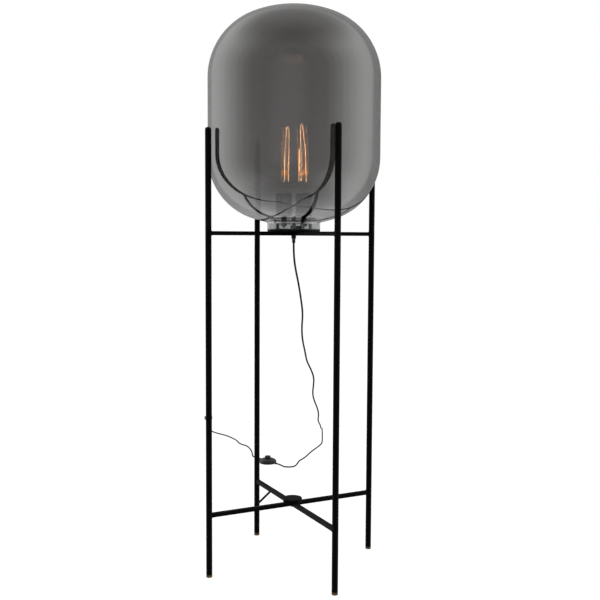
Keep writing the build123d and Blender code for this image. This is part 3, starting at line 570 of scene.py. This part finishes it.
def make_lights():
    area_light("key_light", place=(-0.9, -0.9, 4.2), aim=(0, 0, 0.7), size=1.6, power=70)
    area_light("fill_light", place=(2.6, -1.4, 1.6), aim=(0, 0, 0.6), size=2.0, power=9)
    area_light("back_light", place=(0.4, 2.6, 2.4), aim=(0, 0, 0.7), size=1.8, power=18)


# ---------------------------------------------------------------- finishes
EDGE_BAND_WIDTH = 0.0009          # of an edge band, worn and lighter as painted edge highlight
MOULDED_CONTRAST = 1.6
# dust tone, which also paints upward faces lighter as painted top light
DUST_AND_TOP_LIGHT_COLOUR = (0.10, 0.095, 0.088)
DUST_ROUGHNESS = 0.3
SMOKED_IOR = 2.45           # high, since it stands in for the mirror coat
CLEAR_IOR = 1.45


def node_group(name, inputs, outputs):
    """An empty effect with named inputs, as (name, kind, value), and named outputs, as (name, kind)."""
    group = bpy.data.node_groups.new(name, "ShaderNodeTree")
    for label, kind, value in inputs:
        socket = group.interface.new_socket(name=label, in_out="INPUT", socket_type=kind)
        socket.default_value = value
    for label, kind in outputs:
        group.interface.new_socket(name=label, in_out="OUTPUT", socket_type=kind)
    return group, group.nodes.new("NodeGroupInput"), group.nodes.new("NodeGroupOutput")


def noise(tree, place, scale, detail=4.0, roughness=0.55):
    """Cloudy noise; its scale is a socket or the number of blobs per metre."""
    node = tree.nodes.new("ShaderNodeTexNoise")
    node.inputs["Detail"].default_value = detail
    node.inputs["Roughness"].default_value = roughness
    feed(tree, scale, node.inputs["Scale"])
    tree.links.new(place, node.inputs["Vector"])
    return node.outputs["Fac"]


def make_grain_effect():
    """Fine grain: the spatter of powder coat or the skin of moulded plastic, as a value and a height."""
    group, given, result = node_group(
        "fine_grain",
        [("Scale", "NodeSocketFloat", 1500.0), ("Blotch Scale", "NodeSocketFloat", 40.0),
         ("Contrast", "NodeSocketFloat", 1.0)],
        [("Value", "NodeSocketFloat"), ("Height", "NodeSocketFloat")],
    )
    place = group.nodes.new("ShaderNodeTexCoord").outputs["Object"]
    grain = noise(group, place, given.outputs["Scale"], 2.0, 0.6)
    blotch = noise(group, place, given.outputs["Blotch Scale"], 5.0)
    grain_share = math_node(group, "MULTIPLY", grain, 0.45)
    both = math_node(group, "ADD", grain_share, math_node(group, "MULTIPLY", blotch, 0.55))
    centred = math_node(group, "SUBTRACT", both, 0.5)
    spread = math_node(group, "MULTIPLY", centred, given.outputs["Contrast"])
    value = math_node(group, "ADD", spread, 0.5)
    value.node.use_clamp = True
    group.links.new(value, result.inputs["Value"])
    group.links.new(grain, result.inputs["Height"])
    return group


def make_dust_and_top_light_effect():
    """Thin dust on what faces up, in patches; it also paints the upward faces lighter, as painted top light."""
    group, given, result = node_group(
        "dust_and_top_light",
        [("Amount", "NodeSocketFloat", 0.3), ("Scale", "NodeSocketFloat", 60.0)],
        [("Mask", "NodeSocketFloat")],
    )
    place = group.nodes.new("ShaderNodeTexCoord").outputs["Object"]
    facing = group.nodes.new("ShaderNodeSeparateXYZ")
    group.links.new(group.nodes.new("ShaderNodeNewGeometry").outputs["Normal"], facing.inputs[0])
    upward = ranged(group, facing.outputs["Z"], 0.35, 0.95)
    patches = ranged(group, noise(group, place, given.outputs["Scale"], 6.0, 0.65), 0.35, 0.70)
    mask = math_node(group, "MULTIPLY", math_node(group, "MULTIPLY", upward, patches), given.outputs["Amount"])
    group.links.new(mask, result.inputs["Mask"])
    return group


def make_worn_and_highlit_edges_effect():
    """Worn edges, lighter also as painted edge highlight: where a rounded normal leaves the true one, broken up by
    noise.
    """
    group, given, result = node_group(
        "worn_and_highlit_edges",
        [("Amount", "NodeSocketFloat", 0.5), ("Breakup", "NodeSocketFloat", 220.0)],
        [("Mask", "NodeSocketFloat")],
    )
    rounded = group.nodes.new("ShaderNodeBevel")
    rounded.samples = 4
    rounded.inputs["Radius"].default_value = EDGE_BAND_WIDTH
    along = group.nodes.new("ShaderNodeVectorMath")
    along.operation = "DOT_PRODUCT"
    group.links.new(rounded.outputs[0], along.inputs[0])
    group.links.new(group.nodes.new("ShaderNodeNewGeometry").outputs["Normal"], along.inputs[1])
    edge = ranged(group, along.outputs["Value"], 0.985, 0.86)
    place = group.nodes.new("ShaderNodeTexCoord").outputs["Object"]
    broken = ranged(group, noise(group, place, given.outputs["Breakup"], 5.0, 0.7), 0.42, 0.62)
    mask = math_node(group, "MULTIPLY", math_node(group, "MULTIPLY", edge, broken), given.outputs["Amount"])
    group.links.new(mask, result.inputs["Mask"])
    return group


def make_smear_effect():
    """Faint smears and fingermarks, as a value from clean to smeared."""
    group, given, result = node_group(
        "faint_smears",
        [("Scale", "NodeSocketFloat", 12.0), ("Amount", "NodeSocketFloat", 0.5)],
        [("Value", "NodeSocketFloat")],
    )
    place = group.nodes.new("ShaderNodeTexCoord").outputs["Object"]
    clouds = ranged(group, noise(group, place, given.outputs["Scale"], 3.0, 0.5), 0.45, 0.75)
    streaks = noise(group, place, 160.0, 5.0, 0.7)
    smears = math_node(group, "MULTIPLY", math_node(group, "MULTIPLY", clouds, streaks), given.outputs["Amount"])
    group.links.new(smears, result.inputs["Value"])
    return group


fine_grain = make_grain_effect()
dust_and_top_light = make_dust_and_top_light_effect()
worn_and_highlit_edges = make_worn_and_highlit_edges_effect()
faint_smears = make_smear_effect()


def new_finish(name):
    """A plain material, its tree and its shader."""
    material = bpy.data.materials.new(name)
    material.use_nodes = True
    tree = material.node_tree
    return material, tree, tree.nodes["Principled BSDF"]


def effect(tree, group, **values):
    """One effect placed in a material, with its own values; an underscore stands for a space."""
    node = tree.nodes.new("ShaderNodeGroup")
    node.node_tree = group
    for label, value in values.items():
        node.inputs[label.replace("_", " ")].default_value = value
    return node


def roughened(tree, shader, value, low, high):
    """Roughness between two levels, by a value from 0 to 1."""
    tree.links.new(ranged(tree, value, 0.0, 1.0, low, high), shader.inputs["Roughness"])


def bumped(tree, shader, height, distance):
    """Relief of a depth in metres."""
    bump = tree.nodes.new("ShaderNodeBump")
    bump.inputs["Distance"].default_value = distance
    bump.inputs["Strength"].default_value = 1.0
    tree.links.new(height, bump.inputs["Height"])
    tree.links.new(bump.outputs[0], shader.inputs["Normal"])


def grained_finish(name, dark, light, roughness, grain, depth=0.00003, level=0.5, edge_wear_and_highlight=None, edge_wear_and_highlight_amount=0.5,
                   dust_and_top_light_amount=0.0):
    """Opaque finish: two tones in a grain, edges in a third as wear and painted edge highlight, and dust over all
    that also paints the top faces lighter as painted top light.
    """
    material, tree, shader = new_finish(name)
    shader.inputs["Specular IOR Level"].default_value = level
    skin = effect(tree, fine_grain, Scale=grain[0], Blotch_Scale=grain[1], Contrast=MOULDED_CONTRAST)
    colour = mixed_colour(tree, skin.outputs["Value"], dark, light)
    rough = ranged(tree, skin.outputs["Value"], 0.0, 1.0, roughness[0], roughness[1])
    # edges in a third tone: wear, and a painted edge highlight
    if edge_wear_and_highlight is not None:
        edge_wear_and_highlight_mask = effect(tree, worn_and_highlit_edges, Amount=edge_wear_and_highlight_amount)
        colour = mixed_colour(tree, edge_wear_and_highlight_mask.outputs["Mask"], colour, edge_wear_and_highlight)
    if dust_and_top_light_amount:
        # dust patches on upward faces, which are also a painted top light
        dust_and_top_light_mask = effect(tree, dust_and_top_light, Amount=dust_and_top_light_amount)
        colour = mixed_colour(tree, dust_and_top_light_mask.outputs["Mask"], colour, DUST_AND_TOP_LIGHT_COLOUR)
        rough = math_node(tree, "ADD", rough, math_node(tree, "MULTIPLY", dust_and_top_light_mask.outputs["Mask"], DUST_ROUGHNESS))
    tree.links.new(colour, shader.inputs["Base Color"])
    tree.links.new(rough, shader.inputs["Roughness"])
    bumped(tree, shader, skin.outputs["Height"], depth)
    return material


def height_of(tree):
    """Height in the piece's own place."""
    return dot_with(tree, tree.nodes.new("ShaderNodeTexCoord").outputs["Object"], (0, 0, 1))


def glassy(shader, ior):
    shader.inputs["IOR"].default_value = ior
    shader.inputs["Transmission Weight"].default_value = 1.0


def powder_coat():
    """Fine black powder coat, duller in blotches, with lighter edges as wear and painted edge highlight, and a
    little dust that also paints the top faces lighter.
    """
    # the lighter edge tone paints the highlight along the bars' edges
    return grained_finish("frame_black", (0.0018, 0.0016, 0.0016), (0.0042, 0.0038, 0.0037), (0.42, 0.60),
                          grain=(1900.0, 22.0), depth=0.00005, level=0.05, edge_wear_and_highlight=(0.030, 0.027, 0.025),
                          edge_wear_and_highlight_amount=0.55, dust_and_top_light_amount=0.10)


def foot_pad():
    """Brown fibre pad, darker towards the bottom, where it meets the floor."""
    material, tree, shader = new_finish("pad_brown")
    skin = effect(tree, fine_grain, Scale=900.0, Blotch_Scale=120.0, Contrast=2.2)
    colour = mixed_colour(tree, skin.outputs["Value"], (0.105, 0.055, 0.022), (0.190, 0.105, 0.042))
    # darker towards the bottom, over the lowest few millimetres
    darker_low = ranged(tree, height_of(tree), 0.0, PAD_DARK_BAND_HEIGHT, 0.45, 0.0)
    colour = mixed_colour(tree, darker_low, colour, (0.030, 0.016, 0.008))
    tree.links.new(colour, shader.inputs["Base Color"])
    roughened(tree, shader, skin.outputs["Value"], 0.66, 0.9)
    shader.inputs["Specular IOR Level"].default_value = 0.3
    bumped(tree, shader, skin.outputs["Height"], 0.0002)
    return material


def smoked_glass():
    """Dark mirror-coated glass that fades to clear towards the neck, with faint smears."""
    material, tree, shader = new_finish("smoked_glass")
    level = ranged(tree, height_of(tree), SMOKE_LOW, SMOKE_HIGH)
    stops = [
        (0.0, (0.76, 0.77, 0.77)),
        (0.04, (0.70, 0.71, 0.71)),
        (0.082, (0.48, 0.48, 0.48)),
        (0.145, (0.34, 0.34, 0.34)),
        (0.19, (0.27, 0.27, 0.27)),
        (0.24, (0.23, 0.225, 0.22)),
        (0.33, (0.205, 0.20, 0.195)),
        (0.52, (0.20, 0.193, 0.188)),
        (1.0, (0.17, 0.163, 0.157)),
    ]
    tree.links.new(stepped_ramp(tree, level, stops), shader.inputs["Base Color"])
    smears = effect(tree, faint_smears, Scale=9.0, Amount=1.0)
    roughened(tree, shader, smears.outputs["Value"], 0.0, 0.035)
    glassy(shader, SMOKED_IOR)
    return material


def clear_glass(name, tint, smeared, smear_scale, haze):
    """Clear blown glass with faint smears and a trace of haze in them."""
    material, tree, shader = new_finish(name)
    smears = effect(tree, faint_smears, Scale=smear_scale, Amount=1.0)
    colour = mixed_colour(tree, smears.outputs["Value"], tint, smeared)
    tree.links.new(colour, shader.inputs["Base Color"])
    roughened(tree, shader, smears.outputs["Value"], 0.0, haze)
    glassy(shader, CLEAR_IOR)
    return material


def bulb_glass(name, tint, smeared):
    return clear_glass(name, tint, smeared, smear_scale=50.0, haze=0.05)


def worn_metal(name, dark, light, tarnish, roughness):
    """Bare or plated metal: fine brushed variation, tarnish in patches, rubbed bright at its edges."""
    material, tree, shader = new_finish(name)
    shader.inputs["Metallic"].default_value = 1.0
    skin = effect(tree, fine_grain, Scale=700.0, Blotch_Scale=90.0, Contrast=2.4)
    colour = mixed_colour(tree, skin.outputs["Value"], dark, light)
    smears = effect(tree, faint_smears, Scale=140.0, Amount=1.0)
    colour = mixed_colour(tree, smears.outputs["Value"], colour, tarnish)
    edges = effect(tree, worn_and_highlit_edges, Amount=0.6)
    colour = mixed_colour(tree, edges.outputs["Mask"], colour, tuple(min(1.0, c * 1.25) for c in light))
    tree.links.new(colour, shader.inputs["Base Color"])
    rough = ranged(tree, skin.outputs["Value"], 0.0, 1.0, roughness[0], roughness[1])
    rough = math_node(tree, "ADD", rough, math_node(tree, "MULTIPLY", smears.outputs["Value"], 0.25))
    tree.links.new(rough, shader.inputs["Roughness"])
    bumped(tree, shader, skin.outputs["Height"], 0.00001)
    return material


def glazed_porcelain():
    """White glaze with faint specks, browned a little by heat."""
    material, tree, shader = new_finish("porcelain")
    skin = effect(tree, fine_grain, Scale=1400.0, Blotch_Scale=60.0, Contrast=2.0)
    colour = mixed_colour(tree, skin.outputs["Value"], (0.70, 0.66, 0.58), (0.84, 0.82, 0.78))
    tree.links.new(colour, shader.inputs["Base Color"])
    roughened(tree, shader, skin.outputs["Value"], 0.12, 0.26)
    shader.inputs["Coat Weight"].default_value = 0.4
    bumped(tree, shader, skin.outputs["Height"], 0.00001)
    return material


def bulb_tip():
    """Soldered tip on a dark glass insulator."""
    material, tree, shader = new_finish("bulb_tip")
    metal = ranged(tree, height_of(tree), SOLDER_HEIGHT + SOLDER_EDGE, SOLDER_HEIGHT)
    skin = effect(tree, fine_grain, Scale=1300.0, Blotch_Scale=300.0, Contrast=2.0)
    solder = mixed_colour(tree, skin.outputs["Value"], (0.34, 0.34, 0.35), (0.55, 0.55, 0.56))
    tree.links.new(mixed_colour(tree, metal, (0.012, 0.010, 0.012), solder), shader.inputs["Base Color"])
    tree.links.new(metal, shader.inputs["Metallic"])
    roughened(tree, shader, skin.outputs["Value"], 0.2, 0.4)
    bumped(tree, shader, skin.outputs["Height"], 0.00003)
    return material


def glowing_wire(name, colour, strength, unevenness):
    """Glowing carbon wire, brighter and dimmer along its length."""
    material, tree, shader = new_finish(name)
    place = tree.nodes.new("ShaderNodeTexCoord").outputs["Object"]
    patches = ranged(tree, noise(tree, place, 130.0, 3.0, 0.6), 0.35, 0.65, 1.0 - unevenness, 1.0)
    tree.links.new(mixed_colour(tree, patches, (0.25, 0.05, 0.008), colour), shader.inputs["Emission Color"])
    shader.inputs["Base Color"].default_value = (0.10, 0.05, 0.03, 1)
    shader.inputs["Roughness"].default_value = 0.6
    shader.inputs["Emission Strength"].default_value = strength
    return material


finishes = {
    "frame_black": powder_coat(),
    "pad_brown": foot_pad(),
    "smoked_glass": smoked_glass(),
    "gasket_rubber": grained_finish("gasket_rubber", (0.006, 0.006, 0.006), (0.014, 0.013, 0.013), (0.55, 0.75),
                                    grain=(1100.0, 90.0), level=0.2, dust_and_top_light_amount=0.25),
    "zinc_steel": worn_metal("zinc_steel", (0.22, 0.225, 0.235), (0.38, 0.385, 0.39), (0.14, 0.13, 0.11),
                             (0.24, 0.42)),
    "bracket_black": grained_finish("bracket_black", (0.006, 0.006, 0.006), (0.014, 0.013, 0.013), (0.32, 0.5),
                                    grain=(1600.0, 60.0), level=0.3, edge_wear_and_highlight=(0.20, 0.19, 0.18), dust_and_top_light_amount=0.2),
    "block_plastic": grained_finish("block_plastic", (0.014, 0.014, 0.014), (0.03, 0.03, 0.03), (0.4, 0.6),
                                    grain=(1300.0, 80.0), edge_wear_and_highlight=(0.07, 0.07, 0.07), dust_and_top_light_amount=0.2),
    "cord_black": grained_finish("cord_black", (0.0025, 0.0025, 0.0025), (0.007, 0.0065, 0.0065), (0.42, 0.60),
                                 grain=(1400.0, 30.0), depth=0.00004, level=0.15, dust_and_top_light_amount=0.02),
    "holder_shell": grained_finish("holder_shell", (0.012, 0.012, 0.013), (0.028, 0.027, 0.029), (0.36, 0.52),
                                   grain=(1700.0, 70.0), level=0.45, edge_wear_and_highlight=(0.06, 0.06, 0.06), dust_and_top_light_amount=0.15),
    "porcelain": glazed_porcelain(),
    "brass": worn_metal("brass", (0.52, 0.36, 0.14), (0.74, 0.55, 0.26), (0.24, 0.15, 0.06), (0.24, 0.44)),
    "clear_glass": bulb_glass("clear_glass", (0.97, 0.97, 0.96), (0.90, 0.89, 0.87)),
    "cap_brass": worn_metal("cap_brass", (0.50, 0.38, 0.17), (0.72, 0.57, 0.31), (0.26, 0.18, 0.09), (0.22, 0.42)),
    "bulb_tip": bulb_tip(),
    "stem_glass": bulb_glass("stem_glass", (0.96, 0.96, 0.94), (0.86, 0.86, 0.84)),
    "filament_glow": glowing_wire("filament_glow", (1.0, 0.56, 0.25), WIRE_BRIGHT, 0.45),
    "grip_black": grained_finish("grip_black", (0.005, 0.005, 0.005), (0.013, 0.012, 0.012), (0.42, 0.6),
                                 grain=(1500.0, 80.0), level=0.3, edge_wear_and_highlight=(0.035, 0.035, 0.035)),
    "switch_plastic": grained_finish("switch_plastic", (0.006, 0.006, 0.006), (0.014, 0.014, 0.014), (0.26, 0.42),
                                     grain=(1800.0, 50.0), level=0.45, edge_wear_and_highlight=(0.045, 0.045, 0.045), dust_and_top_light_amount=0.10),
    "plug_plastic": grained_finish("plug_plastic", (0.006, 0.006, 0.006), (0.015, 0.014, 0.014), (0.34, 0.5),
                                   grain=(1500.0, 60.0), level=0.4, edge_wear_and_highlight=(0.045, 0.045, 0.045), dust_and_top_light_amount=0.10),
    "pin_nickel": worn_metal("pin_nickel", (0.56, 0.54, 0.50), (0.72, 0.70, 0.66), (0.40, 0.37, 0.32), (0.16, 0.34)),
}
# dim glow of the short strands and loops; in the loops it also paints the amber reflection low in the bulb
dim_wire_and_reflection = glowing_wire("dim_wire_and_reflection", (1.0, 0.36, 0.03), WIRE_DIM, 0.8)
clear_neck = clear_glass("neck_glass", (0.50, 0.51, 0.51), (0.42, 0.43, 0.43), smear_scale=30.0, haze=0.08)

for subpart in frame["record"]["subparts"]:
    node = nodes[subpart["node"]]
    node.data.materials.clear()
    node.data.materials.append(finishes[subpart["material_slot"]])

make_camera()
make_cords(finishes["cord_black"])
make_globe(finishes["smoked_glass"], clear_neck)
make_filaments(finishes["filament_glow"], dim_wire_and_reflection)
make_welds(finishes["frame_black"])
make_stage()
make_world()
make_lights()

bpy.context.scene.view_settings.view_transform = "Standard"
